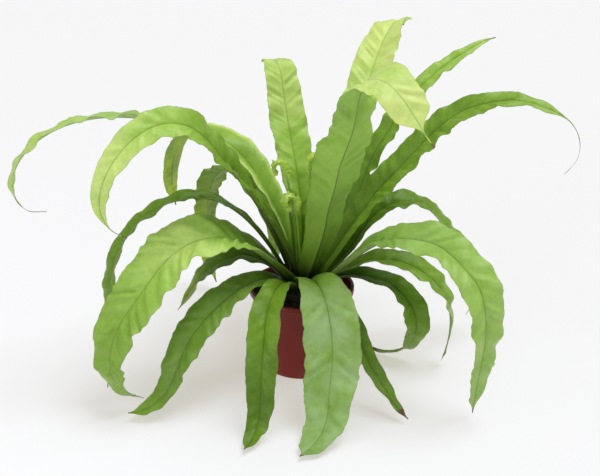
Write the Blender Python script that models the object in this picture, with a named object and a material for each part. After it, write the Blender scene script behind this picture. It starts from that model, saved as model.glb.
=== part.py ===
"""A crisp-leaved strap fern growing in a thin plastic nursery pot.

Metres, +Z up.  The origin is the middle of the pot's flat bottom, on the ground.
The pot, the potting soil, the scaly crown, every frond and every young curled frond
are separate solids.  Fronds and young fronds stand in sockets cut into the crown.
"""

from dataclasses import dataclass
from math import cos, pi, radians, sin, sqrt

import bmesh
import bpy
import numpy as np

# ---- driving dimensions ---------------------------------------------------------------
FIT_GAP = 0.0003            # clearance between pieces that seat against each other

POT_HEIGHT = 0.099
POT_RIM_RADIUS = 0.060      # outside of the lip
POT_LIP_WIDTH = 0.0022      # how far the lip stands out from the wall
POT_LIP_DEPTH = 0.0065      # how far the lip reaches down
POT_BASE_RADIUS = 0.0443
POT_WALL = 0.0012
POT_FLOOR = 0.0020
POT_FOOT_ROUND = 0.0020     # radius of the turn from bottom to wall
DRAIN_HOLE_COUNT = 8
DRAIN_HOLE_RADIUS = 0.0045
DRAIN_CIRCLE_RADIUS = 0.0310

SOIL_BELOW_RIM = 0.0120
CROWN_STUB_RADIUS = 0.0120  # part of the crown that is buried
CROWN_STUB_DEPTH = 0.0220
CROWN_RADIUS = 0.0225       # domed part above the soil
CROWN_SINK = 0.0020         # depth of the dome's centre under the soil's top
ROOT_DEPTH = 0.0025         # how deep a frond's foot sits in its socket

FROND_THICKNESS = 0.0010
FROND_RIB = 0.0004          # extra thickness under the midrib
FROND_FOOT_WIDTH = 0.0024   # least width, at the foot and at the tip
FOOT_RUN = 0.0300           # length over which a foot opens to its blade
GROUND_GAP = 0.0005         # a frond that reaches the ground lies this far above it

POT_SIDES = 48
CROWN_SIDES = 32
FROND_STEPS = 20
CROZIER_STEPS = 18
CROZIER_SIDES = 6

# height of a foot on the crown's dome, as an angle above the horizontal
TIER = {"low": 35.0, "middle": 58.0, "high": 74.0}


@dataclass
class Frond:
    """A strap leaf.  Angles are degrees at equally spaced stations from foot to tip."""

    name: str
    tier: str
    seat: float         # bearing of the foot on the crown, anticlockwise from +X
    length: float
    width: float        # at its widest
    heading: tuple      # bearing that the midrib runs along
    climb: tuple        # slope of the midrib, 90 straight up, under -90 curled back
    roll: tuple = (0, 0, 0)
    fold: tuple = (60, 25, 15)  # how far each half of the blade rises from flat
    neck: float = 0.18  # width near the foot, as a share of the width
    belly: float = 0.45  # where the blade is widest, as a share of the length
    taper: float = 0.8  # small for a blunt end, large for a drawn-out one


@dataclass
class Crozier:
    """A young frond whose end is still curled up."""

    name: str
    seat: float
    heading: float
    stem: float         # length of the straight part
    climb: tuple
    curl_radius: float
    curl_turn: float    # degrees
    stem_radius: float
    bud_radius: float


FRONDS = (
    Frond("frond_upright_left", "high", 80, 0.295, 0.042, (86, 104, 112),
          (85, 75, 45, 45, 60, 55, -65), fold=(50, 20, 5), neck=0.30, belly=0.60, taper=0.35),
    Frond("frond_upright_folded", "high", 310, 0.385, 0.062, (310, 310, 330),
          (60, 70, 75, 65, 75, -45, -40), (-20, -10, 45), (50, 20, 5), 0.36, 0.62, 0.70),
    Frond("frond_tallest_back", "middle", 60, 0.365, 0.042, (60, 60, 60),
          (60, 50, 55, 55, 45, 45, -45), (0, 0, -10), neck=0.25, belly=0.75, taper=0.30),
    Frond("frond_long_back_right", "middle", 35, 0.375, 0.028, (35, 30, 35),
          (35, 65, 55, 30, 5), (0, 10, 40), neck=0.35),
    Frond("frond_arching_back", "middle", 85, 0.275, 0.032, (85, 85, 80),
          (50, 30, 15, -5, -25)),
    Frond("frond_low_back", "low", 100, 0.300, 0.032, (100, 100, 90),
          (50, 25, -20, -75, -60), neck=0.30, belly=0.50, taper=0.70),
    Frond("frond_high_left", "high", 213, 0.440, 0.040, (206, 206, 205),
          (76, 62, 55, 50, -25, -70, -155), (0, -35, -45), neck=0.30),
    Frond("frond_farthest_left", "middle", 176, 0.505, 0.030, (174, 186, 220),
          (76, 62, 50, 15, -10, -60, -180), (0, 10, 0), taper=0.90),
    Frond("frond_wide_back_left", "middle", 154, 0.340, 0.048, (160, 148, 140),
          (85, 65, 35, -50, -110), fold=(68, 22, 10), neck=0.18, belly=0.42, taper=0.60),
    Frond("frond_hanging_back_left", "middle", 130, 0.400, 0.042, (125, 120, 125),
          (55, 35, -25, -80, -120), taper=1.00),
    Frond("frond_broad_left", "middle", 225, 0.390, 0.062, (210, 210, 205),
          (52, 34, -38, -65, -160), (0, -20, -30), (55, 20, 10), 0.23, 0.45, 0.60),
    Frond("frond_edge_on_left", "middle", 192, 0.440, 0.028, (196, 200, 220),
          (66, 45, -30, -85, -80), neck=0.30, taper=0.60),
    Frond("frond_low_left", "low", 180, 0.175, 0.034, (175, 180, 180),
          (65, 30, -25, -55, -55), (0, -15, -10)),
    Frond("frond_wavy_left_front", "low", 225, 0.275, 0.042, (220, 218, 200),
          (60, -5, -35, -65, 10), (0, -15, -10), neck=0.30, belly=0.50, taper=0.55),
    Frond("frond_front_left", "low", 248, 0.275, 0.036, (245, 260, 250),
          (50, 10, -55, -75, 20), neck=0.35, belly=0.50, taper=0.50),
    Frond("frond_broad_front", "low", 275, 0.275, 0.064, (295, 275, 230),
          (65, -5, -65, -45, 10), fold=(45, 20, 10), neck=0.45, taper=0.50),
    Frond("frond_small_front_right", "low", 312, 0.205, 0.024, (305, 310, 315),
          (45, -20, -55, -40, -25), neck=0.40, belly=0.50, taper=0.60),
    Frond("frond_broad_right", "low", 328, 0.405, 0.048, (325, 325, 325),
          (45, 40, -20, -90, -95), (0, 20, 15), neck=0.25, belly=0.50, taper=0.50),
    Frond("frond_low_right", "low", 352, 0.260, 0.032, (360, 355, 360),
          (45, 15, -30, -80, -110), (0, 15, 10), taper=0.60),
    Frond("frond_short_right", "low", 14, 0.240, 0.034, (15, -30, -35),
          (25, -5, -50, -130, -190), (0, 20, 20), neck=0.30, belly=0.50, taper=0.60),
    Frond("frond_farthest_right", "middle", 358, 0.450, 0.034, (5, 0, -10),
          (55, 58, 50, 45, 5, -38, -115), (20, 35, 20), neck=0.30, belly=0.40, taper=1.00),
    Frond("frond_back_right", "middle", 18, 0.360, 0.032, (15, 20, 20),
          (20, 55, -40, -55, -130), (0, 20, 20), taper=0.90),
)

CROZIERS = (
    Crozier("crozier_tall_left", 156, 185, 0.140, (88, 88, 86, 80, 72), 0.0042, 235, 0.0011, 0.0026),
    Crozier("crozier_short_left", 262, 215, 0.104, (86, 87, 86, 84, 78), 0.0046, 250, 0.0012, 0.0030),
    Crozier("crozier_tall_right", 20, 10, 0.145, (86, 88, 89, 88, 82), 0.0030, 240, 0.0009, 0.0016),
)


# ---- places that pieces share ---------------------------------------------------------
def soil_top():
    """Height of the soil's surface."""
    return POT_HEIGHT - SOIL_BELOW_RIM


def dome_centre():
    """Centre of the crown's dome."""
    return np.array((0.0, 0.0, soil_top() - CROWN_SINK))


def foot_on_crown(tier, seat):
    """Where a midrib starts, ROOT_DEPTH inside the crown's dome."""
    up = radians(TIER[tier])
    around = radians(seat)
    outward = np.array((cos(up) * cos(around), cos(up) * sin(around), sin(up)))
    return dome_centre() + (CROWN_RADIUS - ROOT_DEPTH) * outward


def wall_radius(height):
    """Outer radius of the pot's wall at a height."""
    top = POT_RIM_RADIUS - POT_LIP_WIDTH
    return POT_BASE_RADIUS + (top - POT_BASE_RADIUS) * height / POT_HEIGHT


# ---- smooth runs of stations ----------------------------------------------------------
def along(values, share):
    """Values of equally spaced stations at each share (0 to 1), joined by a smooth curve."""
    stations = np.asarray(values, float)
    last = len(stations) - 1
    before = 2 * stations[0] - stations[1]
    after = 2 * stations[-1] - stations[-2]
    padded = np.concatenate([[before], stations, [after]])
    place = np.clip(share, 0, 1) * last
    index = np.minimum(place.astype(int), last - 1)
    t = place - index
    a, b, c, d = (padded[index + k] for k in range(4))
    return 0.5 * (2 * b + (c - a) * t + (2 * a - 5 * b + 4 * c - d) * t**2
                  + (3 * b - a - 3 * c + d) * t**3)


def walk(start, step, heading, climb):
    """Points and directions of a path that leaves start and follows its angles."""
    direction = np.stack([np.cos(climb) * np.cos(heading),
                          np.cos(climb) * np.sin(heading),
                          np.sin(climb)], axis=-1)
    middle = 0.5 * (direction[1:] + direction[:-1])
    moved = np.cumsum(middle * step, axis=0)
    return np.concatenate([[start], start + moved]), direction


def cross_axes(direction, heading):
    """Level sideways axis and upper-face normal at each point of a path."""
    side = np.stack([-np.sin(heading), np.cos(heading), np.zeros_like(heading)], axis=-1)
    return side, np.cross(direction, side)


# ---- meshes ---------------------------------------------------------------------------
def make_material(name, colour, roughness, metallic=0.0):
    """Plain Principled material of one piece."""
    material = bpy.data.materials.new(name + "_material")
    material.use_nodes = True
    shader = material.node_tree.nodes["Principled BSDF"]
    shader.inputs["Base Color"].default_value = (*colour, 1.0)
    shader.inputs["Roughness"].default_value = roughness
    shader.inputs["Metallic"].default_value = metallic
    return material


def make_object(name, bm, material=None, smooth_angle=40.0):
    """Object from a bmesh, its faces turned outwards and its round parts smooth."""
    bmesh.ops.recalc_face_normals(bm, faces=bm.faces)
    mesh = bpy.data.meshes.new(name)
    bm.to_mesh(mesh)
    bm.free()
    mesh.shade_smooth()
    mesh.set_sharp_from_angle(angle=radians(smooth_angle))
    if material:
        mesh.materials.append(material)
    shape = bpy.data.objects.new(name, mesh)
    bpy.context.scene.collection.objects.link(shape)
    return shape


def loft(rings):
    """Closed skin through rings of points, its two sides split along the same diagonals."""
    bm = bmesh.new()
    rows = [[bm.verts.new(point) for point in ring] for ring in rings]
    count = len(rows[0])
    half = count // 2
    for low, high in zip(rows, rows[1:]):
        for i in range(count):
            j = (i + 1) % count
            if i < half:
                bm.faces.new((low[i], low[j], high[j]))
                bm.faces.new((low[i], high[j], high[i]))
            else:
                bm.faces.new((low[i], low[j], high[i]))
                bm.faces.new((low[j], high[j], high[i]))
    for ring in (rows[0], rows[-1]):
        for i in range(half):
            corners = [ring[i], ring[i + 1], ring[-i - 1], ring[-i]]
            bm.faces.new(list(dict.fromkeys(corners)))
    return bm


def turned(profile, sides):
    """Solid turned about Z from (radius, height) points that start and end on the axis."""
    bm = bmesh.new()
    rings = []
    for radius, height in profile:
        if radius == 0:
            rings.append([bm.verts.new((0, 0, height))])
            continue
        turn = [2 * pi * i / sides for i in range(sides)]
        rings.append([bm.verts.new((radius * cos(a), radius * sin(a), height)) for a in turn])
    for low, high in zip(rings, rings[1:]):
        for i in range(sides):
            j = (i + 1) % sides
            corners = [low[i % len(low)], low[j % len(low)], high[j % len(high)], high[i % len(high)]]
            bm.faces.new(list(dict.fromkeys(corners)))
    return bm


def cut(shape, cutter):
    """Take a hidden cutter out of a shape."""
    cutter.hide_render = True
    cutter.display_type = "WIRE"
    change = shape.modifiers.new(cutter.name, "BOOLEAN")
    change.operation = "DIFFERENCE"
    change.solver = "EXACT"
    change.object = cutter


# ---- pot ------------------------------------------------------------------------------
def build_pot():
    """Thin tapering cup with an outward lip and a ring of drainage holes."""
    lip_inner = wall_radius(POT_HEIGHT) - POT_WALL
    lip_under = POT_HEIGHT - POT_LIP_DEPTH
    lip_round = 0.3 * POT_LIP_WIDTH
    foot = POT_FOOT_ROUND
    foot_turn = [radians(a) for a in (0, 30, 60)]
    profile = [(0, 0)]
    profile += [(POT_BASE_RADIUS - foot + foot * sin(a), foot - foot * cos(a)) for a in foot_turn]
    profile += [(wall_radius(foot), foot),
                (wall_radius(lip_under), lip_under),
                (POT_RIM_RADIUS, lip_under + lip_round),
                (POT_RIM_RADIUS, POT_HEIGHT - lip_round),
                (POT_RIM_RADIUS - lip_round, POT_HEIGHT),
                (lip_inner, POT_HEIGHT),
                (wall_radius(POT_FLOOR) - POT_WALL, POT_FLOOR),
                (0, POT_FLOOR)]
    material = make_material("pot", (0.26, 0.055, 0.035), 0.42)
    pot = make_object("pot", turned(profile, POT_SIDES), material)
    for i in range(DRAIN_HOLE_COUNT):
        angle = 2 * pi * (i + 0.5) / DRAIN_HOLE_COUNT
        bm = bmesh.new()
        bmesh.ops.create_cone(bm, cap_ends=True, segments=16, radius1=DRAIN_HOLE_RADIUS,
                              radius2=DRAIN_HOLE_RADIUS, depth=4 * POT_FLOOR)
        drill = make_object("drain_cutter_%d" % (i + 1), bm)
        drill.location = (DRAIN_CIRCLE_RADIUS * cos(angle), DRAIN_CIRCLE_RADIUS * sin(angle), 0)
        cut(pot, drill)
    return pot


# ---- soil -----------------------------------------------------------------------------
def build_soil():
    """Plug of potting soil that fills the pot and holds the crown's buried stub."""
    def inside(height):
        return wall_radius(height) - POT_WALL - FIT_GAP

    bottom = POT_FLOOR + FIT_GAP
    top = soil_top()
    pocket = CROWN_STUB_RADIUS + FIT_GAP
    pocket_floor = top - CROWN_STUB_DEPTH - FIT_GAP
    profile = [(0, bottom), (inside(bottom), bottom), (inside(top), top),
               (pocket, top), (0.6 * pocket, pocket_floor), (0, pocket_floor)]
    material = make_material("potting_soil", (0.035, 0.024, 0.017), 0.95)
    return make_object("potting_soil", turned(profile, POT_SIDES), material)


# ---- crown ----------------------------------------------------------------------------
def build_crown(sockets):
    """Scaly rootstock: a dome on the soil, a buried stub and a socket for each foot."""
    centre = dome_centre()[2]
    rest = soil_top() + FIT_GAP
    edge = sqrt(CROWN_RADIUS**2 - (rest - centre) ** 2)
    stub_end = soil_top() - CROWN_STUB_DEPTH
    dome = [radians(a) for a in (20, 35, 50, 65, 80)]
    profile = [(0, stub_end), (0.6 * CROWN_STUB_RADIUS, stub_end), (CROWN_STUB_RADIUS, rest),
               (edge, rest)]
    profile += [(CROWN_RADIUS * cos(a), centre + CROWN_RADIUS * sin(a)) for a in dome]
    profile += [(0, centre + CROWN_RADIUS)]
    material = make_material("crown", (0.060, 0.045, 0.022), 0.85)
    crown = make_object("crown", turned(profile, CROWN_SIDES), material)
    for socket in sockets:
        cut(crown, socket)
    return crown


# ---- fronds ---------------------------------------------------------------------------
def blade_width(frond, share):
    """Width of the blade: a narrow foot, a belly and a tapering end."""
    rise = np.sin(pi / 2 * np.clip(share / frond.belly, 0, 1)) ** 1.5
    past = np.clip((share - frond.belly) / (1 - frond.belly), 0, 1)
    fall = np.maximum(np.cos(pi / 2 * past), 0) ** frond.taper
    opening = np.clip(0.3 + share * frond.length / FOOT_RUN, 0, 1)
    width = frond.width * (frond.neck + (1 - frond.neck) * rise) * np.maximum(fall, 0.04)
    return np.maximum(width * opening, FROND_FOOT_WIDTH)


def frond_rings(frond, grow=0.0):
    """V sections along a frond, each grown by a clearance."""
    share = np.linspace(0, 1, FROND_STEPS + 1)
    heading = np.radians(along(frond.heading, share))
    climb = np.radians(along(frond.climb, share))
    start = foot_on_crown(frond.tier, frond.seat)
    points, direction = walk(start, frond.length / FROND_STEPS, heading, climb)
    side, normal = cross_axes(direction, heading)
    roll = np.radians(along(frond.roll, share))[:, None]
    across = side * np.cos(roll) + normal * np.sin(roll)
    upward = normal * np.cos(roll) - side * np.sin(roll)
    half = blade_width(frond, share)[:, None] / 2
    fold = np.radians(along(frond.fold, share))[:, None]
    leaf = FROND_THICKNESS
    # place across the blade (-1 to 1) and depth under the upper face, once around
    outline = ((-1, 0), (-0.5, 0), (0, 0), (0.5, 0), (1, 0),
               (0.5, leaf), (0, leaf + FROND_RIB), (-0.5, leaf))
    section = []
    for place, depth in outline:
        hand = np.sign(place)
        blade = hand * across * np.cos(fold) + abs(hand) * upward * np.sin(fold)
        face = upward * np.cos(fold) - hand * across * np.sin(fold)
        if place == 0:
            face = upward / np.cos(fold)
        if abs(place) == 1:
            outwards = 2 * grow * blade
        else:
            outwards = grow * face * (-1 if depth else 1)
        section.append(points + half * abs(place) * blade - depth * upward + outwards)
    rings = np.stack(section, axis=1)
    lowest = rings[:, :, 2].min(axis=1)
    rings[:, :, 2] += np.maximum(GROUND_GAP - lowest, 0)[:, None]
    if grow:
        rings[0] -= grow * direction[0]
    return rings


def build_frond(frond, colour):
    """One strap leaf, and the cutter for its socket in the crown."""
    material = make_material(frond.name, colour, 0.35)
    leaf = make_object(frond.name, loft(frond_rings(frond)), material)
    socket = make_object(frond.name + "_cutter", loft(frond_rings(frond, FIT_GAP)[:2]))
    return leaf, socket


# ---- young fronds ---------------------------------------------------------------------
def crozier_rings(crozier, grow=0.0):
    """Round sections along a straight stem and the curl at its end."""
    turn = radians(crozier.curl_turn)
    curl = crozier.curl_radius * turn
    length = crozier.stem + curl
    stem_steps = CROZIER_STEPS // 2
    on_stem = np.linspace(0, crozier.stem, stem_steps + 1)
    on_curl = np.linspace(crozier.stem, length, CROZIER_STEPS - stem_steps + 1)[1:]
    place = np.concatenate([on_stem, on_curl])
    past = np.clip((place - crozier.stem) / curl, 0, 1)
    climb = np.radians(along(crozier.climb, place / crozier.stem)) - past * turn
    heading = np.full_like(place, radians(crozier.heading))
    start = foot_on_crown("high", crozier.seat)
    points, direction = walk(start, np.diff(place)[:, None], heading, climb)
    side, normal = cross_axes(direction, heading)
    swell = np.clip(place / length * 2 - 1, 0, 1)
    radius = crozier.stem_radius + (crozier.bud_radius - crozier.stem_radius) * swell
    radius = (radius * (1 - 0.45 * past**6) + grow)[:, None]
    turns = [2 * pi * i / CROZIER_SIDES for i in range(CROZIER_SIDES)]
    rings = np.stack([points + radius * (cos(a) * side + sin(a) * normal) for a in turns], axis=1)
    rings[0] -= grow * direction[0]
    return rings


def build_crozier(crozier, colour):
    """One curled young frond, and the cutter for its socket in the crown."""
    material = make_material(crozier.name, colour, 0.45)
    shape = make_object(crozier.name, loft(crozier_rings(crozier)), material)
    socket = make_object(crozier.name + "_cutter", loft(crozier_rings(crozier, FIT_GAP)[:2]))
    return shape, socket


def main():
    for old in list(bpy.data.objects):
        bpy.data.objects.remove(old)
    build_pot()
    build_soil()
    sockets = []
    for frond in FRONDS:
        _, socket = build_frond(frond, (0.16, 0.31, 0.035))
        sockets.append(socket)
    for crozier in CROZIERS:
        _, socket = build_crozier(crozier, (0.42, 0.52, 0.08))
        sockets.append(socket)
    build_crown(sockets)


main()
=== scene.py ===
"""A potted strap fern with waved, pleated fronds, and its studio.

Metres, +Z up.  Each operator builds one piece or one group of like pieces over the
frame's solids, which it replaces.
"""

from dataclasses import dataclass
from math import cos, pi, radians, sin

import bmesh
import bpy
import numpy as np
from bpy.props import (FloatProperty, FloatVectorProperty, IntProperty,
                       PointerProperty)
from mathutils import Matrix, Vector, noise


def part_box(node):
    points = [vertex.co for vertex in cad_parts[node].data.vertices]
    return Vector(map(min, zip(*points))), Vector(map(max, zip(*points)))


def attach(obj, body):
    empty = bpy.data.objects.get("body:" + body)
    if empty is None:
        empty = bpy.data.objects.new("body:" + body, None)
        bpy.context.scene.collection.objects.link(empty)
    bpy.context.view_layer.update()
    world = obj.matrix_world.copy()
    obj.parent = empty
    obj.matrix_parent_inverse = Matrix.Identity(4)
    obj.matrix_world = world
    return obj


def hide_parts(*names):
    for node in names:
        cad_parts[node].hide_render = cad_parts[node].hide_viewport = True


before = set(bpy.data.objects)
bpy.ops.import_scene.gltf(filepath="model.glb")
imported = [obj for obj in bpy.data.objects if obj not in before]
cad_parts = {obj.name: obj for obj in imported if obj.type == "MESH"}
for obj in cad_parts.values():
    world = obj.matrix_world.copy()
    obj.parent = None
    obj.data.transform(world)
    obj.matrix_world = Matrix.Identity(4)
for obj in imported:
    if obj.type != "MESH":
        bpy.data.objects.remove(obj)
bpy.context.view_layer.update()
POT_LOW, POT_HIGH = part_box("pot")
SOIL_LOW, SOIL_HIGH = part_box("potting_soil")

bl_info = {
    "name": "Potted strap fern",
    "version": (1, 0, 0),
    "blender": (4, 5, 0),
    "location": "View3D > Sidebar > Fern",
    "description": "Builds a potted strap fern with waved fronds, and its studio",
    "category": "Object",
}

# ---- sizes that pieces share ----
CROWN_RADIUS = 0.0225
CROWN_CENTRE = np.array((0.0, 0.0, SOIL_HIGH.z - 0.002))
ROOT_DEPTH = 0.0025
FOOT_RUN = 0.030        # length over which a foot opens to its blade
LEAST_FOOT = 0.0024     # width of a blade's foot
GROUND_GAP = 0.0011     # a blade that reaches the floor stays this far above it
PATH_STEPS = 20
VEIN_SLANT = 0.75       # how far side veins run on towards the tip as they near the margin
LEAF_GLOW = {"Subsurface_Scale": 0.0012, "Subsurface_Radius": (0.55, 1.0, 0.18)}
YOUNG_FRONDS = ("frond_upright_folded", "frond_tallest_back")
TIER = {"low": 35.0, "middle": 58.0, "high": 74.0}


@dataclass
class Frond:
    """A strap leaf.  Angles are degrees at equally spaced stations from foot to tip."""

    name: str
    tier: str
    seat: float
    length: float
    width: float
    heading: tuple
    climb: tuple
    roll: tuple = (0, 0, 0)
    fold: tuple = (40, 25, 15)
    neck: float = 0.18
    belly: float = 0.45
    taper: float = 0.8
    tone: tuple = (0.15, 0.35, 0.45, 0.5)   # 0 deep green to 1 pale, upper face; partly painted light: lit and lit-through parts paler, shaded parts darker
    under: tuple = ()                       # the same of the lower face, painted light included
    wave: float = 0.075                     # rise of the margins' waves, as a share of the width
    wave_length: float = 0.034
    pleat: float = 0.00035                  # height of the slanting pleats
    pucker: float = 0.038                   # height of the broad puckers, as a share of the width
    sway: float = 1.0                       # how far the blade wanders about its path
    tail: float = 1.0                       # share of the length where a thread starts
    dry: float = 0.012                      # share of the tip that has dried
    yellow: float = 0.0                     # how far the end has yellowed
    bloom: float = 0.0                      # how far a painted grey sheen covers it
    painted_rim_glow: float = 0.0                   # how far the margins are painted paler, as if lit through


@dataclass
class Crozier:
    """A young frond whose end is still curled up."""

    name: str
    seat: float
    heading: float
    stem: float
    climb: tuple
    curl_radius: float
    curl_turn: float
    stem_radius: float


# The tones below hold painted light besides each blade's greens: lit, shiny and lit-through parts are
# set paler, shaded parts darker.
FRONDS = (
    Frond("frond_upright_left", "high", 80, 0.295, 0.044, (86, 104, 112),
          (85, 75, 45, 45, 60, 55, -65), fold=(50, 20, 5), neck=0.30, sway=0.2, belly=0.60, taper=0.26,
          tone=(0.16, 0.40, 0.68, 0.86, 0.86), wave=0.065, pleat=0.0014),
    Frond("frond_upright_folded", "high", 310, 0.385, 0.064, (310, 310, 330),
          (60, 70, 75, 65, 75, -45, -40), (-20, -10, 45), (30, 20, 5), 0.46, 0.60, 0.50,
          tone=(0.20, 0.35, 0.60, 0.92, 0.96), under=(0.26, 0.50, 0.70, 0.74, 0.74),
          wave=0.040, wave_length=0.046, tail=0.955),
    Frond("frond_tallest_back", "middle", 60, 0.365, 0.050, (60, 60, 60),
          (60, 50, 55, 55, 45, 45, -45), (0, 0, -10), neck=0.45, belly=0.75, taper=0.30,
          tone=(0.14, 0.40, 0.68, 0.96, 1.00), wave=0.060, pleat=0.0009),
    Frond("frond_long_back_right", "middle", 35, 0.375, 0.029, (35, 30, 35),
          (35, 65, 55, 30, 5), (0, 10, 40), neck=0.50,
          tone=(0.12, 0.30, 0.45, 0.70, 0.78), wave=0.12, wave_length=0.028),
    Frond("frond_arching_back", "middle", 85, 0.275, 0.032, (85, 85, 80),
          (50, 30, 15, -5, -25), neck=0.40, tone=(0.10, 0.30, 0.55, 0.70)),
    Frond("frond_low_back", "low", 100, 0.300, 0.032, (100, 100, 90),
          (50, 25, -20, -75, -60), neck=0.40, belly=0.50, taper=0.70),
    Frond("frond_high_left", "high", 213, 0.440, 0.041, (206, 206, 205),
          (76, 62, 55, 50, -25, -70, -155), (0, -35, -45), (60, 25, 15), 0.40,
          tone=(0.08, 0.24, 0.40, 0.76, 0.90, 0.82), pleat=0.0006, sway=0.3, tail=0.95),
    Frond("frond_farthest_left", "middle", 176, 0.505, 0.031, (174, 186, 220),
          (76, 62, 50, 15, -10, -60, -180), (0, 10, 0), neck=0.18, sway=0.2, taper=0.60,
          tone=(0.08, 0.24, 0.42, 0.74, 0.84, 0.68), bloom=0.40, wave=0.10, tail=0.945),
    Frond("frond_wide_back_left", "middle", 154, 0.340, 0.046, (162, 150, 140),
          (85, 65, 35, -50, -110), (0, 0, 0), (70, 30, 10), 0.18, 0.42, 0.50,
          tone=(0.26, 0.56, 0.64, 0.68, 0.82), under=(0.14, 0.34, 0.42, 0.70, 0.92),
          yellow=0.8, painted_rim_glow=0.75, pucker=0.010, sway=0.1, wave=0.020),
    Frond("frond_hanging_back_left", "middle", 130, 0.400, 0.042, (125, 120, 125),
          (55, 35, -25, -80, -120), neck=0.35, taper=0.50,
          tone=(0.10, 0.24, 0.34, 0.40, 0.62), yellow=0.8),
    Frond("frond_broad_left", "middle", 225, 0.390, 0.066, (210, 210, 205),
          (52, 34, -38, -65, -160), (0, -20, -30), (34, 20, 10), 0.62, 0.45, 0.60,
          tone=(0.16, 0.50, 0.82, 0.68, 0.53, 0.54), bloom=0.05,
          wave=0.065, wave_length=0.046, pleat=0.0005, pucker=0.055),
    Frond("frond_edge_on_left", "middle", 192, 0.440, 0.028, (196, 200, 220),
          (66, 45, -30, -85, -80), neck=0.40, taper=0.60,
          tone=(0.06, 0.20, 0.34, 0.36, 0.44)),
    Frond("frond_low_left", "low", 180, 0.175, 0.034, (175, 180, 180),
          (65, 30, -25, -55, -55), (0, -15, -10), neck=0.35,
          tone=(0.06, 0.18, 0.28, 0.36), yellow=0.3),
    Frond("frond_wavy_left_front", "low", 225, 0.275, 0.043, (220, 218, 200),
          (60, -5, -35, -65, 10), (0, -15, -10), neck=0.38, belly=0.50, taper=0.55,
          tone=(0.10, 0.28, 0.38, 0.38, 0.50), bloom=0.15,
          wave=0.055, wave_length=0.030, sway=0.3),
    Frond("frond_front_left", "low", 248, 0.275, 0.036, (245, 260, 250),
          (50, 10, -55, -75, 20), neck=0.38, belly=0.50, taper=0.50,
          tone=(0.10, 0.36, 0.36, 0.24, 0.34), wave=0.070),
    Frond("frond_broad_front", "low", 275, 0.275, 0.062, (295, 275, 230),
          (65, -5, -65, -45, 10), fold=(45, 20, 10), neck=0.48, taper=0.50,
          tone=(0.24, 0.52, 0.58, 0.54, 0.46), bloom=0.80,
          wave=0.050, wave_length=0.038, pucker=0.026),
    Frond("frond_small_front_right", "low", 312, 0.205, 0.024, (305, 310, 315),
          (45, -20, -55, -40, -25), neck=0.50, belly=0.50, taper=0.60,
          tone=(0.10, 0.24, 0.34, 0.34), dry=0.05),
    Frond("frond_broad_right", "low", 328, 0.405, 0.050, (325, 325, 325),
          (45, 40, -20, -90, -95), (0, 20, 15), neck=0.42, belly=0.50, taper=0.50,
          tone=(0.16, 0.44, 0.68, 0.72, 0.64), bloom=0.28, wave=0.065, wave_length=0.042),
    Frond("frond_low_right", "low", 352, 0.260, 0.032, (360, 355, 360),
          (45, 15, -30, -80, -110), (0, 15, 10), neck=0.45, taper=0.60,
          tone=(0.10, 0.28, 0.46, 0.58, 0.60)),
    Frond("frond_short_right", "low", 14, 0.240, 0.034, (15, -30, -35),
          (25, -5, -50, -130, -190), (0, 20, 20), neck=0.38, belly=0.50, taper=0.60,
          tone=(0.06, 0.22, 0.34, 0.44, 0.52), dry=0.05),
    Frond("frond_farthest_right", "middle", 358, 0.455, 0.036, (5, 0, -10),
          (55, 58, 50, 45, 5, -38, -140), (20, 35, 20), (34, 25, 15), 0.80, 0.38, 1.55,
          tone=(0.14, 0.34, 0.46, 0.54, 0.66, 0.70),
          pleat=0.0009, pucker=0.06, tail=0.84, dry=0.02),
    Frond("frond_back_right", "middle", 18, 0.360, 0.032, (15, 20, 20),
          (20, 55, -40, -55, -130), (0, 20, 20), neck=0.45, taper=0.90,
          tone=(0.06, 0.22, 0.40, 0.50, 0.60)),
)

CROZIERS = (
    Crozier("crozier_tall_left", 156, 185, 0.140, (88, 88, 86, 80, 72), 0.0042, 235, 0.0011),
    Crozier("crozier_short_left", 262, 215, 0.104, (86, 87, 86, 84, 78), 0.0046, 250, 0.0012),
    Crozier("crozier_tall_right", 20, 10, 0.145, (86, 88, 89, 88, 82), 0.0030, 240, 0.0009),
)


# ---- smooth runs of stations ----
def along(values, share):
    """Values of equally spaced stations at each share (0 to 1), joined by a smooth curve."""
    stations = np.asarray(values, float)
    last = len(stations) - 1
    before = 2 * stations[0] - stations[1]
    after = 2 * stations[-1] - stations[-2]
    padded = np.concatenate([[before], stations, [after]])
    place = np.clip(share, 0, 1) * last
    index = np.minimum(place.astype(int), last - 1)
    t = place - index
    a, b, c, d = (padded[index + k] for k in range(4))
    if stations.ndim > 1:
        t = t[:, None]
    return 0.5 * (2 * b + (c - a) * t + (2 * a - 5 * b + 4 * c - d) * t**2
                  + (3 * b - a - 3 * c + d) * t**3)


def smooth(low, high, value):
    """0 below low, 1 above high and an even turn between."""
    t = np.clip((value - low) / (high - low), 0, 1)
    return t * t * (3 - 2 * t)


def foot_on_crown(tier, seat):
    """Where a midrib starts, just inside the crown's dome."""
    up, around = radians(TIER[tier]), radians(seat)
    outward = np.array((cos(up) * cos(around), cos(up) * sin(around), sin(up)))
    return CROWN_CENTRE + (CROWN_RADIUS - ROOT_DEPTH) * outward


def direction_of(heading, climb):
    """Unit vectors of bearings and slopes."""
    return np.stack([np.cos(climb) * np.cos(heading),
                     np.cos(climb) * np.sin(heading),
                     np.sin(climb)], axis=-1)


def cross_axes(direction, heading):
    """Level sideways axis and upper-face normal at each point of a path."""
    side = np.stack([-np.sin(heading), np.cos(heading), np.zeros_like(heading)], axis=-1)
    return side, np.cross(direction, side)


# ---- meshes ----
def new_object(name, data):
    """Object in the scene that holds a mesh, a lamp or a camera."""
    made = bpy.data.objects.new(name, data)
    bpy.context.scene.collection.objects.link(made)
    return made


def finish_object(name, mesh, material, node, sharp_angle):
    """Object that rides on the frame's body and stands for one of its solids."""
    mesh.shade_smooth()
    mesh.set_sharp_from_angle(angle=radians(sharp_angle))
    mesh.materials.append(material)
    shape = new_object(name, mesh)
    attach(shape, "root")
    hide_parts(node)
    return shape


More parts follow.
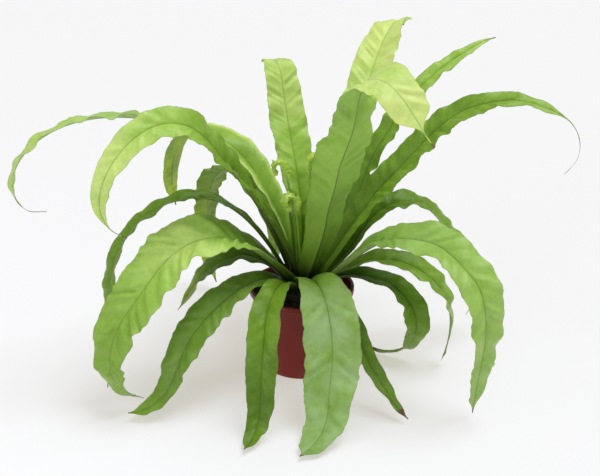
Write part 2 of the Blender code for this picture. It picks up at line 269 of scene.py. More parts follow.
def mesh_from(name, points, faces, facts=None):
    """Mesh with one number per point for each named fact."""
    mesh = bpy.data.meshes.new(name)
    mesh.from_pydata(points.reshape(-1, 3).tolist(), [], faces)
    mesh.validate()
    for key, values in (facts or {}).items():
        layer = mesh.attributes.new(key, "FLOAT", "POINT")
        layer.data.foreach_set("value", np.asarray(values, np.float32).ravel())
    return mesh


def sheet_faces(rows, columns):
    """Faces of an upper and a lower grid of points joined all round their edges."""
    def at(level, i, j):
        return (level * rows + i) * columns + j

    faces = []
    for i in range(rows - 1):
        for j in range(columns - 1):
            faces.append((at(0, i, j), at(0, i, j + 1), at(0, i + 1, j + 1), at(0, i + 1, j)))
            faces.append((at(1, i, j), at(1, i + 1, j), at(1, i + 1, j + 1), at(1, i, j + 1)))
        for j, (first, second) in ((0, (1, 0)), (columns - 1, (0, 1))):
            faces.append((at(first, i, j), at(second, i, j),
                          at(second, i + 1, j), at(first, i + 1, j)))
    for j in range(columns - 1):
        faces.append((at(1, 0, j), at(1, 0, j + 1), at(0, 0, j + 1), at(0, 0, j)))
        last = rows - 1
        faces.append((at(0, last, j), at(0, last, j + 1), at(1, last, j + 1), at(1, last, j)))
    return faces


def sheet_map(mesh, rows, columns):
    """Flat map of a sheet: its upper face fills one half and its lower face the other."""
    across = np.linspace(0, 1, columns)
    down = np.linspace(0, 1, rows)
    layer = mesh.uv_layers.new(name="map")
    corners = np.zeros(len(mesh.loops), np.int32)
    mesh.loops.foreach_get("vertex_index", corners)
    level, rest = np.divmod(corners, rows * columns)
    row, column = np.divmod(rest, columns)
    places = np.stack([0.01 + 0.98 * down[row],
                       0.01 + 0.47 * across[column] + 0.51 * level], axis=-1)
    layer.data.foreach_set("uv", places.astype(np.float32).ravel())


# ---- paint ----
class Tint:
    """A shader socket that adds, takes away and multiplies like a number."""

    def __init__(self, paint, socket):
        self.paint, self.socket = paint, socket

    def __add__(self, other):
        return self.paint.maths("ADD", self, other)

    def __radd__(self, other):
        return self.paint.maths("ADD", other, self)

    def __sub__(self, other):
        return self.paint.maths("SUBTRACT", self, other)

    def __rsub__(self, other):
        return self.paint.maths("SUBTRACT", other, self)

    def __mul__(self, other):
        return self.paint.maths("MULTIPLY", self, other)

    def __rmul__(self, other):
        return self.paint.maths("MULTIPLY", other, self)


class Paint:
    """One material, its Principled shader and the nodes that feed it."""

    def __init__(self, name, **constants):
        self.material = bpy.data.materials.new(name)
        self.material.use_nodes = True
        self.tree = self.material.node_tree
        self.shader = self.tree.nodes["Principled BSDF"]
        for key, value in constants.items():
            self.shader.inputs[key.replace("_", " ")].default_value = value

    def node(self, kind, settings=None, inputs=None, output=0):
        """Any node: its settings first, then a value or link for each socket."""
        made = self.tree.nodes.new(kind)
        for key, value in (settings or {}).items():
            if key == "stops":
                ramp = made.color_ramp
                while len(ramp.elements) < len(value):
                    ramp.elements.new(0.5)
                for stop, (place, colour) in zip(ramp.elements, value):
                    stop.position, stop.color = place, (*colour, 1.0)
            else:
                setattr(made, key, value)
        for key, value in (inputs or {}).items():
            if isinstance(value, Tint):
                self.tree.links.new(value.socket, made.inputs[key])
            else:
                made.inputs[key].default_value = value
        return Tint(self, made.outputs[output])

    def maths(self, operation, *values):
        return self.node("ShaderNodeMath", {"operation": operation}, dict(enumerate(values)))

    def fact(self, name):
        """A number that the mesh holds for each point."""
        return self.node("ShaderNodeAttribute", {"attribute_name": name}, output=2)

    def place(self):
        """Where a point is, in metres."""
        return self.node("ShaderNodeTexCoord", output=3)

    def step(self, value, low, high, start=0.0, end=1.0):
        """start below low, end above high and an even turn between."""
        return self.node("ShaderNodeMapRange", {"interpolation_type": "SMOOTHSTEP"},
                         {0: value, 1: low, 2: high, 3: start, 4: end})

    def noise(self, scale, detail=2.0, roughness=0.5):
        """A cloudy pattern, about 0 to 1."""
        return self.node("ShaderNodeTexNoise", {}, {
            "Scale": scale, "Detail": detail, "Roughness": roughness, "Vector": self.place()})

    def mix(self, share, low, high):
        """Colour between two colours, each a socket or three numbers."""
        low, high = (c if isinstance(c, Tint) else (*c, 1.0) for c in (low, high))
        return self.node("ShaderNodeMix", {"data_type": "RGBA"}, {0: share, 6: low, 7: high},
                         output=2)

    def ramp(self, share, stops):
        return self.node("ShaderNodeValToRGB", {"stops": stops}, {0: share})

    def bump(self, height, distance, strength):
        return self.node("ShaderNodeBump", {},
                         {"Height": height, "Distance": distance, "Strength": strength})

    def feed(self, **links):
        """Join sockets to the shader's inputs and give back the material."""
        for key, value in links.items():
            self.tree.links.new(value.socket, self.shader.inputs[key.replace("_", " ")])
        return self.material


# ---- settings ----
def setting_of(kind, **fixed):
    """Maker of one kind of setting, from its name, description and default."""
    def make(name, description, default, **more):
        return kind(name=name, description=description, default=default, **fixed, **more)

    return make


colour_property = setting_of(FloatVectorProperty, subtype="COLOR", size=3, min=0.0, max=1.0)
length_property = setting_of(FloatProperty, min=0.0, unit="LENGTH", precision=5)
share_property = setting_of(FloatProperty, min=0.0, max=1.0, subtype="FACTOR")
angle_property = setting_of(FloatProperty, subtype="ANGLE")
number_property = setting_of(FloatProperty)
count_property = setting_of(IntProperty, min=0)


class PotSettings(bpy.types.PropertyGroup):
    """Sizes and colours of the pot."""

    colour: colour_property("Plastic", "Colour of the moulded plastic", (0.185, 0.011, 0.006))
    dust: colour_property("Dust", "Colour of dried water marks and dust", (0.30, 0.13, 0.085))
    wall: length_property("Wall", "Thickness of the wall", 0.0012)
    lip_width: length_property("Lip width", "How far the lip stands out", 0.0022)
    lip_depth: length_property("Lip depth", "How far the lip reaches down", 0.0065)
    base_radius: length_property("Base radius", "Radius of the flat bottom", 0.0443)
    gloss: share_property("Roughness", "Roughness of the clean plastic", 0.36)


class SoilSettings(bpy.types.PropertyGroup):
    """Grain and colours of the potting soil."""

    dark: colour_property("Wet", "Colour of moist peat", (0.006, 0.0045, 0.0035))
    light: colour_property("Bark", "Colour of the driest bark chips", (0.060, 0.034, 0.018))
    crumbs: count_property("Crumbs", "Number of loose crumbs", 520)
    chips: count_property("Chips", "Number of bark chips", 110)
    rough: length_property("Relief", "Height of the lumps in the surface", 0.0016)


class CrownSettings(bpy.types.PropertyGroup):
    """Scales of the rootstock."""

    dark: colour_property("Scale", "Colour of a scale's middle", (0.012, 0.009, 0.005))
    light: colour_property("Scale edge", "Colour of a scale's thin edge", (0.090, 0.050, 0.022))
    scales: count_property("Scales", "Number of papery scales", 260)
    scale_length: length_property("Scale length", "Length of one scale", 0.0075)


class FrondSettings(bpy.types.PropertyGroup):
    """Blade and colours of the fronds."""

    deep: colour_property("Deep", "Green of the oldest, shaded blade", (0.034, 0.074, 0.004))
    low: colour_property("Dark", "Green near the foot", (0.092, 0.192, 0.006))
    middle: colour_property("Middle", "Green of the middle of a blade", (0.190, 0.345, 0.024))
    high: colour_property("Light", "Green of a lit young blade", (0.350, 0.560, 0.085))
    pale: colour_property("Pale", "Yellow green of a fresh end", (0.700, 0.830, 0.280))
    dead: colour_property("Dry", "Brown of a dried tip", (0.150, 0.088, 0.034))
    yellow: colour_property("Yellow", "Yellow of an ageing end", (0.660, 0.780, 0.090))
    thickness: length_property("Thickness", "Thickness of the blade", 0.00045)
    rib: length_property("Rib", "Height of the midrib under the foot", 0.0011)
    vein_spacing: length_property("Vein spacing", "Distance between side veins", 0.0013)
    wave: number_property("Wave", "Scales every margin's waves", 1.0, min=0.0, max=3.0)
    roughness: share_property("Roughness", "Roughness of the waxy upper face", 0.28)


class CrozierSettings(bpy.types.PropertyGroup):
    """Young fronds that are still curled."""

    colour: colour_property("Bud", "Colour of the crumpled bud", (0.480, 0.700, 0.090))
    stem: colour_property("Stem", "Colour of the stalk", (0.200, 0.360, 0.040))
    ribbon: length_property("Ribbon", "Width of the unopened blade", 0.0120)
    ruffle: length_property("Ruffle", "Height of the crumples", 0.0024)


class StageSettings(bpy.types.PropertyGroup):
    """Floor, light and camera."""

    floor: colour_property("Floor", "Colour of the floor", (0.42, 0.45, 0.52))
    glow: colour_property("Floor glow", "Even light that the floor gives back",
                          (0.495, 0.465, 0.425))
    air: colour_property("Fill", "Colour of the light from all round", (1.0, 0.955, 0.880))
    fill: number_property("Fill light", "Strength of the light from all round", 0.42, min=0.0)
    sun: number_property("Overhead light", "Strength of the broad light overhead", 1.95, min=0.0)
    sun_angle: angle_property("Overhead spread", "How broad that light is", radians(34))
    side: number_property("Side light", "Power of the lamp at the left", 5.5, min=0.0, unit="POWER")
    distance: length_property("Distance", "From the camera to the plant", 1.35)
    elevation: angle_property("Elevation", "How far the camera looks down", radians(24.44))
    lens: number_property("Lens", "Focal length in millimetres", 72.2, min=1.0)


# ---- pot ----
def turned(profile, sides):
    """Points and faces of a solid turned about Z from points that start and end on the axis."""
    angles = np.linspace(0, 2 * pi, sides, endpoint=False)
    ring = np.stack([np.cos(angles), np.sin(angles)], axis=-1)
    points, starts = [], []
    for radius, height in profile:
        starts.append(len(points))
        if radius == 0:
            points.append((0.0, 0.0, height))
        else:
            points += [(radius * x, radius * y, height) for x, y in ring]
    faces = []
    for k in range(len(profile) - 1):
        low, high = starts[k], starts[k + 1]
        for i in range(sides):
            j = (i + 1) % sides
            low_pair = (low, low) if profile[k][0] == 0 else (low + i, low + j)
            high_pair = (high, high) if profile[k + 1][0] == 0 else (high + i, high + j)
            corners = [low_pair[0], low_pair[1], high_pair[1], high_pair[0]]
            faces.append(tuple(dict.fromkeys(corners)))
    return np.array(points), faces


def arc(centre, radius, start, end, steps):
    """Points of a round corner in a profile, from one angle to another in degrees."""
    return [(centre[0] + radius * cos(radians(a)), centre[1] + radius * sin(radians(a)))
            for a in np.linspace(start, end, steps)]


def pot_plastic(settings):
    """Brick-red moulded plastic with moulding rings, dust and dried splashes."""
    paint = Paint("pot_plastic", IOR=1.48, Specular_IOR_Level=0.30)
    place = paint.place()
    split = paint.node("ShaderNodeSeparateXYZ", {}, {0: place}, output=2)
    low = paint.step(split, 0.0, 0.030, 1.0, 0.0)
    rim = paint.step(split, POT_HIGH.z - 0.010, POT_HIGH.z - 0.001)
    cloud = paint.noise(38.0, 5.0, 0.62)
    speck = paint.noise(520.0, 2.0, 0.6)
    dust = paint.step(cloud + 0.22 * low + 0.16 * rim, 0.56, 0.86) * 0.16
    splash = paint.step(speck * 0.55 + cloud * 0.45 + 0.10 * low, 0.60, 0.70) * 0.45
    shade = paint.ramp(paint.noise(9.0, 3.0), [
        (0.30, [0.82 * c for c in settings.colour]), (0.70, [1.12 * c for c in settings.colour])])
    base = paint.mix(dust, shade, settings.dust)
    base = paint.mix(splash, base, (0.040, 0.026, 0.018))
    scratch = paint.noise(90.0, 6.0, 0.7)
    rough = settings.gloss + 0.22 * dust + 0.30 * splash + 0.12 * (scratch - 0.5)
    rings = paint.maths("SINE", split * (2 * pi / 0.0011))
    relief = paint.bump(rings * 0.3 + scratch, 0.00006, 0.7)
    return paint.feed(Base_Color=base, Roughness=rough, Normal=relief)


class FERN_OT_pot(bpy.types.Operator):
    """Thin tapering nursery pot with a rolled lip and drainage holes"""

    bl_idname = "fern.pot"
    bl_label = "Build pot"

    def execute(self, context):
        settings = context.scene.fern_pot
        rim, height, wall = POT_HIGH.x, POT_HIGH.z, settings.wall
        top = rim - settings.lip_width

        def outer(z):
            return settings.base_radius + (top - settings.base_radius) * z / height

        under = height - settings.lip_depth
        bead, corner, floor = 0.0009, 0.0020, 0.0020
        flat = 0.030            # the floor is level this far out
        holes, hole_radius, hole_ring = 8, 0.0045, 0.031
        profile = [(0.0, 0.0), (flat, 0.0), (settings.base_radius - 2 * corner, 0.0)]
        profile += arc((settings.base_radius - corner, corner), corner, -90, 0, 7)
        profile += [(outer(z), z) for z in np.linspace(2 * corner, under - 0.0012, 14)]
        profile += [(outer(under) + 0.0003, under - 0.0004)]
        profile += arc((rim - bead, under + bead), bead, -80, 0, 6)
        profile += arc((rim - bead, height - bead), bead, 0, 90, 6)
        profile += arc((outer(height) - wall + 0.0006, height - 0.0006), 0.0006, 90, 180, 4)
        profile += [(outer(z) - wall, z) for z in np.linspace(height - 0.003, 0.0034, 12)]
        profile += [(outer(floor) - wall - 0.0014, floor), (flat, floor), (0.0, floor)]
        points, faces = turned(profile, 160)
        body = new_object("pot_turned", mesh_from("pot_turned", points, faces))
        drills = []
        for i in range(holes):
            angle = 2 * pi * (i + 0.5) / holes
            at = Matrix.Translation((hole_ring * cos(angle), hole_ring * sin(angle), 0))
            bm = bmesh.new()
            bmesh.ops.create_cone(bm, cap_ends=True, segments=32, radius1=hole_radius,
                                  radius2=hole_radius, depth=4 * floor, matrix=at)
            drill = new_object("drill", bpy.data.meshes.new("drill"))
            bm.to_mesh(drill.data)
            bm.free()
            drills.append(drill)
            change = body.modifiers.new("hole", "BOOLEAN")
            change.operation, change.solver, change.object = "DIFFERENCE", "EXACT", drill
        graph = context.evaluated_depsgraph_get()
        final = bpy.data.meshes.new_from_object(body.evaluated_get(graph))
        for extra in [body, *drills]:
            bpy.data.objects.remove(extra)
        final.name = "pot_body"
        finish_object("pot_body", final, pot_plastic(settings), "pot", 32)
        return {"FINISHED"}


# ---- soil and crown ----
def ball(radius, subdivisions):
    """Points and faces of a ball."""
    bm = bmesh.new()
    bmesh.ops.create_icosphere(bm, subdivisions=subdivisions, radius=radius)
    points = np.array([v.co for v in bm.verts])
    faces = [tuple(v.index for v in f.verts) for f in bm.faces]
    bm.free()
    return points, faces


def lump(scale, turn, at, rough, seed, subdivisions):
    """Points and faces of one crumb: a ball, squashed, roughened and turned."""
    points, faces = ball(1.0, subdivisions)
    swell = [1 + rough * noise.noise(Vector(p) * 1.7 + Vector((seed, 0, 0))) for p in points]
    points = points * np.array(swell)[:, None] * np.array(scale)
    return points @ np.array(turn).T + at, faces


def random_turn(rng, tilt):
    """Rotation about Z by anything and about the others by up to tilt."""
    angles = rng.uniform(-tilt, tilt, 2)
    return (Matrix.Rotation(rng.uniform(0, 2 * pi), 3, "Z") @ Matrix.Rotation(angles[0], 3, "X")
            @ Matrix.Rotation(angles[1], 3, "Y"))


def gather(parts):
    """One set of points, faces and per-part numbers from many small parts."""
    points, faces, marks, start = [], [], [], 0
    for own, own_faces, mark in parts:
        points.append(own)
        faces += [tuple(start + i for i in face) for face in own_faces]
        marks.append(np.full(len(own), mark))
        start += len(own)
    return np.concatenate(points), faces, np.concatenate(marks)


def soil_matter(settings):
    """Moist peat with paler bark chips."""
    paint = Paint("soil_matter")
    chip = paint.fact("chip")
    grain = paint.noise(900.0, 6.0, 0.7)
    cloud = paint.noise(140.0, 4.0, 0.6)
    pale = chip * (0.45 + 0.75 * grain)
    base = paint.mix(paint.step(pale, 0.0, 1.1), settings.dark, settings.light)
    base = paint.mix(paint.step(cloud, 0.35, 0.75) * 0.5, base, (0.018, 0.011, 0.007))
    rough = 0.72 + 0.25 * (1 - cloud)
    relief = paint.bump(grain, 0.0005, 0.8)
    return paint.feed(Base_Color=base, Roughness=rough, Normal=relief)


class FERN_OT_soil(bpy.types.Operator):
    """Potting soil with loose crumbs and bark chips"""

    bl_idname = "fern.soil"
    bl_label = "Build soil"

    def execute(self, context):
        settings = context.scene.fern_soil
        rng = np.random.default_rng(11)
        edge = SOIL_HIGH.x
        low_edge = 0.0412       # inside the corner where the pot's wall meets its floor
        top = SOIL_HIGH.z
        profile = [(0.0, SOIL_LOW.z), (low_edge, SOIL_LOW.z), (low_edge + 0.0018, 0.0042)]
        profile.append((edge, top))
        profile += [(r, top) for r in np.linspace(edge - 0.0015, 0.004, 30)] + [(0.0, top)]
        points, faces = turned(profile, 120)
        lifted = []
        for x, y, z in points:
            inside = edge - (x * x + y * y) ** 0.5
            if z >= top - 1e-6 and inside > 0.0005:
                place = Vector((x, y, 0.0))
                bumps = noise.fractal(place * 190, 0.8, 2.2, 4) + 0.8 * noise.noise(place * 70)
                z += settings.rough * bumps * min(inside / 0.004, 1.0)
            lifted.append((x, y, z))
        parts = [(np.array(lifted), faces, 0.15)]
        for k in range(settings.crumbs + settings.chips):
            chip = k >= settings.crumbs
            radius = rng.uniform(0.004 if chip else 0.002, 1.0) ** 0.5 * (edge - 0.004)
            angle = rng.uniform(0, 2 * pi)
            size = rng.uniform(0.0016, 0.0034) if chip else rng.uniform(0.0006, 0.0017)
            shape = (size, size * rng.uniform(0.4, 0.8), size * rng.uniform(0.2, 0.45)) if chip \
                else (size, size * rng.uniform(0.7, 1.0), size * rng.uniform(0.5, 0.9))
            at = (radius * cos(angle), radius * sin(angle), top + 0.5 * size * rng.uniform(0, 1))
            own, own_faces = lump(shape, random_turn(rng, 0.5), at, 0.8, k * 3.1,
                                  2 if chip else 1)
            parts.append((own, own_faces, rng.uniform(0.3, 1.0) if chip else rng.uniform(0, 0.5)))
        points, faces, chips = gather(parts)
        mesh = mesh_from("soil_plug", points, faces, {"chip": chips})
        finish_object("soil_plug", mesh, soil_matter(settings), "potting_soil", 60)
        return {"FINISHED"}


def scale_matter(settings):
    """Papery brown scales, dark in the middle."""
    paint = Paint("scale_matter")
    edge = paint.fact("edge")
    hue = paint.fact("hue")
    streak = paint.noise(700.0, 3.0, 0.6)
    share = paint.step(edge * 0.7 + 0.35 * hue + 0.3 * streak, 0.45, 1.25)
    base = paint.mix(share, settings.dark, settings.light)
    rough = 0.55 + 0.3 * streak
    return paint.feed(Base_Color=base, Roughness=rough, Normal=paint.bump(streak, 0.0003, 0.6))


def paper_scale(settings, share, rng):
    """Points of one cupped scale that lies anywhere on the dome and leans up it."""
    up, around = rng.uniform(0.05, 1.0) ** 0.8 * pi / 2, rng.uniform(0, 2 * pi)
    outward = np.array((cos(up) * cos(around), cos(up) * sin(around), sin(up)))
    lean = np.array((0.0, 0.0, 1.0)) - outward * outward[2]
    lean = lean / max(np.linalg.norm(lean), 0.05) + rng.normal(0, 0.45, 3)
    lean -= outward * (lean @ outward)
    lean /= np.linalg.norm(lean)
    side = np.cross(lean, outward)
    length = settings.scale_length * rng.uniform(0.6, 1.25)
    lift = rng.uniform(0.25, 0.7)
    spine = (CROWN_CENTRE + outward * (CROWN_RADIUS - 0.0012)
             + length * share[:, None] * lean * (1 - 0.25 * share[:, None])
             + length * lift * (share[:, None] ** 1.5) * outward)
    half = 0.0011 * rng.uniform(0.7, 1.3) * np.sin(pi * (0.15 + 0.85 * share)) ** 0.8
    half = np.maximum(half, 0.00006)
    cup = 0.5 * half
    rows = np.stack([spine - half[:, None] * side + cup[:, None] * outward,
                     spine, spine + half[:, None] * side + cup[:, None] * outward], axis=1)
    back = rows - 0.00018 * outward
    return np.concatenate([rows.reshape(-1, 3), back.reshape(-1, 3)])


class FERN_OT_crown(bpy.types.Operator):
    """Rootstock covered in narrow papery scales"""

    bl_idname = "fern.crown"
    bl_label = "Build crown"

    def execute(self, context):
        settings = context.scene.fern_crown
        rng = np.random.default_rng(5)
        dome, faces = ball(CROWN_RADIUS - 0.0008, 5)
        swell = [1 + 0.06 * noise.fractal(Vector(p) * 150, 0.9, 2.0, 3) for p in dome]
        dome = dome * np.array(swell)[:, None] + CROWN_CENTRE
        parts = [(dome, faces, 0.2)]
        edges = [np.full(len(dome), 0.1)]
        share = np.linspace(0, 1, 9)
        for _ in range(settings.scales):
            own = paper_scale(settings, share, rng)
            parts.append((own, sheet_faces(len(share), 3), rng.uniform(0, 1)))
            edges.append(np.tile([1.0, 0.0, 1.0], 2 * len(share)))
        points, faces, hue = gather(parts)
        mesh = mesh_from("crown_scales", points, faces,
                         {"edge": np.concatenate(edges), "hue": hue})
        finish_object("crown_scales", mesh, scale_matter(settings), "crown", 60)
        return {"FINISHED"}


# ---- fronds ----
def blade_width(frond, share):
    """Width of the blade: a narrow foot, a belly and a tapering end or thread."""
    rise = np.sin(pi / 2 * np.clip(share / frond.belly, 0, 1)) ** 1.5
    past = np.clip((share - frond.belly) / (1 - frond.belly), 0, 1)
    fall = np.maximum(np.cos(pi / 2 * past), 0) ** frond.taper
    opening = np.clip(0.3 + share * frond.length / FOOT_RUN, 0, 1)
    width = frond.width * (frond.neck + (1 - frond.neck) * rise) * fall * opening
    width = np.maximum(width, LEAST_FOOT * (1 - smooth(0.3, 0.7, share)))
    thread = smooth(frond.tail - 0.06, frond.tail, share)
    return width * (1 - thread) + 0.0014 * thread


def wander(rng, run, wave_length, octaves=2):
    """Smooth wavering along a run, about -1 to 1, whose pitch and height waver too."""
    total = np.zeros_like(run)
    for k in range(octaves):
        turn = 2 * pi * run / (wave_length * 0.57**k)
        drift = 1.3 * np.sin(turn / 4.3 + rng.uniform(0, 2 * pi))
        height = 0.62 + 0.38 * np.sin(turn / 2.9 + rng.uniform(0, 2 * pi))
        total += 0.32**k * height * np.sin(turn + drift + rng.uniform(0, 2 * pi))
    return total


def ripple(turn, pitch, drift, drift_pitch, start):
    """Ripples whose pitch drifts with a longer one.  turn is 2 pi times the run."""
    return np.sin(turn / pitch + drift * np.sin(turn / drift_pitch + start))


def pleats(frond, slant, start):
    """Height of the slanting pleats, with finer ones between, and of the broad puckers."""
    pleat_pitch, fine_pitch, pucker_pitch = 0.0094, 0.0057, 0.0195
    pleats_fade, puckers_fade = 0.031, 0.053        # pitches at which they come and go
    turn = 2 * pi * slant
    ridge = ripple(turn, pleat_pitch, 2.2, 0.047, start)
    ridge = ridge * (0.6 + 0.4 * np.sin(turn / pleats_fade + 2 * start))
    ridge += 0.4 * np.sin(turn / fine_pitch + 1.7 * np.sin(slant * 160) + start)
    pucker = ripple(turn, pucker_pitch, 1.9, 0.071, -start)
    pucker = pucker * (0.65 + 0.35 * np.sin(turn / puckers_fade + 3 * start))
    return frond.pleat * ridge + frond.pucker * frond.width * pucker


def frond_sheets(frond, settings, rng):
    """Upper and lower points of a blade, with what its paint needs to know of each."""
    rows = int(frond.length / 0.0021)
    columns = 2 * int(np.clip(frond.width / 0.0034, 7, 16)) + 1
    coarse = np.linspace(0, 1, PATH_STEPS + 1)
    heading, climb = (np.radians(along(v, coarse)) for v in (frond.heading, frond.climb))
    steps = direction_of(heading, climb)
    steps = 0.5 * (steps[1:] + steps[:-1]) * frond.length / PATH_STEPS
    start = foot_on_crown(frond.tier, frond.seat)
    path = np.concatenate([[start], start + np.cumsum(steps, axis=0)])

    share = np.linspace(0, 1, rows)
    run = share * frond.length
    points = along(path, share)
    heading, climb = (np.radians(along(v, share)) for v in (frond.heading, frond.climb))
    direction = direction_of(heading, climb)
    side, normal = cross_axes(direction, heading)
    calm = smooth(0.10, 0.35, share)
    sway = frond.sway * calm
    roll = np.radians(along(frond.roll, share) + 7 * sway * wander(rng, run, 0.12, 1))[:, None]
    across = side * np.cos(roll) + normal * np.sin(roll)
    upward = normal * np.cos(roll) - side * np.sin(roll)
    points = points + across * (0.0012 * sway * wander(rng, run, 0.085, 1))[:, None]

    half = blade_width(frond, share) / 2
    full = frond.width / 2
    place = np.linspace(-1, 1, columns)
    place = np.sign(place) * np.abs(place) ** 1.12
    shape = (rows, columns)
    lateral, lift, slope, waves = (np.zeros(shape) for _ in range(4))
    fold = np.radians(along(frond.fold, share))
    for hand in (-1, 1):
        own = np.where(place * hand > 0)[0]
        reach = np.abs(place[own])[None, :]
        sag = 1 + 0.35 * calm * wander(rng, run, 0.10, 1)
        tilt = (fold * sag)[:, None] * (1.30 - 0.70 * reach)
        rim = 1 + 0.030 * calm * wander(rng, run, 0.027) + 0.015 * calm * wander(rng, run, 0.009)
        strip = (half * rim)[:, None]
        lateral[:, own] = hand * strip * reach * np.cos(tilt)
        lift[:, own] = strip * reach * np.sin(tilt)
        slope[:, own] = hand * tilt
        ruffle = wander(rng, run, frond.wave_length) * calm * np.minimum(half / full * 1.25, 1)
        height = settings.wave * frond.wave * frond.width
        waves[:, own] = height * ruffle[:, None] * reach**1.8
        slant = run[:, None] - VEIN_SLANT * half[:, None] * reach
        swell = pleats(frond, slant, rng.uniform(0, 2 * pi))
        envelope = smooth(0.04, 0.30, reach) * (1 - 0.35 * reach) * calm[:, None]
        waves[:, own] += swell * envelope * np.minimum(half / full, 1)[:, None]
    ax, up = across[:, None, :], upward[:, None, :]
    face = up * np.cos(slope)[..., None] - ax * np.sin(slope)[..., None]
    upper = (points[:, None, :] + ax * lateral[..., None] + up * lift[..., None]
             + face * waves[..., None])
    off = np.abs(place)[None, :] * half[:, None]
    rib = settings.rib * (1 - 0.65 * smooth(0.0, 0.8, share)) * np.minimum(half / 0.002, 1)
    groove = 0.30 * rib[:, None] * np.exp(-(off / 0.0007) ** 2)
    keel = rib[:, None] * np.exp(-(off / 0.0010) ** 2)
    sheath = 0.0009 * (1 - smooth(0.0, 0.10, share))
    depth = settings.thickness + keel + sheath[:, None]
    thin = np.minimum(half / 0.0015, 1)[:, None]
    lower = upper - face * (depth * thin)[..., None]
    upper = upper - face * (groove * thin)[..., None]

    lowest = lower[:, :, 2].min(axis=1)
    rise = np.maximum(GROUND_GAP - lowest, 0)
    kernel = np.hanning(15)
    eased = np.convolve(np.pad(rise, 7, mode="edge"), kernel / kernel.sum(), mode="valid")
    rise = np.maximum(rise, eased)
    upper[:, :, 2] += rise[:, None]
    lower[:, :, 2] += rise[:, None]

    tone = along(frond.tone, share)
    under = along(frond.under, share) if frond.under else tone - 0.04
    rows_only = {
        "run": run,
        "dry": smooth(1 - 2.2 * frond.dry, 1 - 0.5 * frond.dry, share),
        "age": frond.yellow * smooth(0.55, 0.95, share),
        "bloom": frond.bloom * smooth(0.1, 0.4, share),
        # how much paler the margins are painted, as light glowing through them
        "fresh": np.full(rows, frond.painted_rim_glow),
    }
    both = {key: np.broadcast_to(value[:, None], shape) for key, value in rows_only.items()}
    both["off"] = off
    both["rim"] = (1 - np.abs(place))[None, :] * half[:, None]
    facts = {key: np.stack([value, value]) for key, value in both.items()}
    facts["tone"] = np.stack([np.broadcast_to(face_tone[:, None], shape)
                              for face_tone in (tone, under)])
    facts["below"] = np.stack([np.zeros(shape), np.ones(shape)])
    return upper, lower, facts


def blade_matter(name, settings, scatter):
    """Waxy leaf: greens that carry painted light, a painted grey sheen, a painted glow along some
    margins, slanting veins, midrib, thin rim, dry tip.
    """
    paint = Paint(name, Subsurface_Weight=scatter, **LEAF_GLOW, IOR=1.42, Specular_IOR_Level=0.42)
    run, off, rim, below = (paint.fact(k) for k in ("run", "off", "rim", "below"))
    cloud = paint.noise(30.0, 3.0, 0.55)
    fine = paint.noise(260.0, 4.0, 0.6)
    slant = (run - VEIN_SLANT * off) * (2 * pi / settings.vein_spacing)
    veins = paint.maths("SINE", slant + 2.0 * fine)
    broad_spacing = 0.0082
    broad = paint.maths("SINE", (run - VEIN_SLANT * off) * (2 * pi / broad_spacing) + 3.0 * cloud)
    blotch = paint.noise(85.0, 3.0, 0.6)
    # painted light: lit and lit-through parts of a blade are paler and shaded parts darker, besides
    # its own greens
    tone = paint.fact("tone") + 0.30 * (cloud - 0.5) + 0.20 * (blotch - 0.5) + 0.12 * (fine - 0.5)
    tone = tone + (0.016 * veins + 0.008 * broad) * paint.step(off, 0.0005, 0.003)
    # painted glow of light through the margins, upper face only
    tone = tone + paint.fact("fresh") * paint.step(rim, 0.0, 0.009, 0.45, 0.0) * (1 - below)
    base = paint.ramp(tone, [(0.0, settings.deep), (0.20, settings.low), (0.45, settings.middle),
                             (0.72, settings.high), (1.0, settings.pale)])
    chalk = paint.mix(0.35, base, (0.28, 0.38, 0.10))
    base = paint.mix(below * 0.55, base, chalk)
    # painted grey sheen, in clouds across the blade
    bloom = paint.fact("bloom") * (0.50 + 1.6 * (cloud - 0.5) + 0.8 * (blotch - 0.5))
    base = paint.mix(bloom, base, (0.380, 0.520, 0.310))
    line = paint.step(off, 0.00025, 0.0010, 1.0, 0.0)
    rib_above = paint.mix(0.48, base, (0.060, 0.130, 0.010))
    rib_below = paint.mix(paint.step(run, 0.03, 0.20), (0.040, 0.022, 0.010),
                          (0.070, 0.120, 0.018))
    base = paint.mix(line * 0.75, base, paint.mix(below, rib_above, rib_below))
    hem = paint.step(rim, 0.00015, 0.00075, 0.55, 0.0) * paint.step(fine, 0.30, 0.62)
    base = paint.mix(hem, base, (0.115, 0.105, 0.025))
    spots = paint.step(paint.noise(150.0, 3.0, 0.6), 0.52, 0.60)
    age = paint.fact("age")
    base = paint.mix(age * paint.step(cloud, 0.30, 0.60), base, settings.yellow)
    base = paint.mix(age * spots * 0.40, base, (0.16, 0.26, 0.020))
    burn = paint.step(paint.fact("dry") + 0.5 * (fine - 0.5), 0.35, 0.75)
    base = paint.mix(burn, base, settings.dead)
    foot = paint.step(run + 0.012 * (cloud - 0.5), 0.008, 0.034, 1.0, 0.0)
    base = paint.mix(foot * 0.85, base, (0.016, 0.022, 0.006))
    rough = settings.roughness + 0.16 * below + 0.22 * (cloud - 0.5) + 0.10 * fine
    rough = rough + 0.35 * burn
    height = veins * 0.5 + 0.7 * fine + 0.3 * broad
    relief = paint.bump(height + blotch, 0.00018, 0.60)
    return paint.feed(Base_Color=base, Roughness=rough, Normal=relief)


class FERN_OT_fronds(bpy.types.Operator):
    """Strap fronds with waved margins, slanting pleats and a midrib"""

    bl_idname = "fern.fronds"
    bl_label = "Build fronds"

    def execute(self, context):
        settings = context.scene.fern_fronds
        green = blade_matter("blade_green", settings, 0.30)
        pale = blade_matter("blade_pale", settings, 0.55)
        for number, frond in enumerate(FRONDS):
            upper, lower, facts = frond_sheets(frond, settings, np.random.default_rng(40 + number))
            rows, columns = upper.shape[:2]
            mesh = mesh_from(frond.name + "_blade", np.stack([upper, lower]),
                             sheet_faces(rows, columns), facts)
            sheet_map(mesh, rows, columns)
            young = frond.name in YOUNG_FRONDS
            finish_object(frond.name + "_blade", mesh, pale if young else green, frond.name,
                          55)
        return {"FINISHED"}


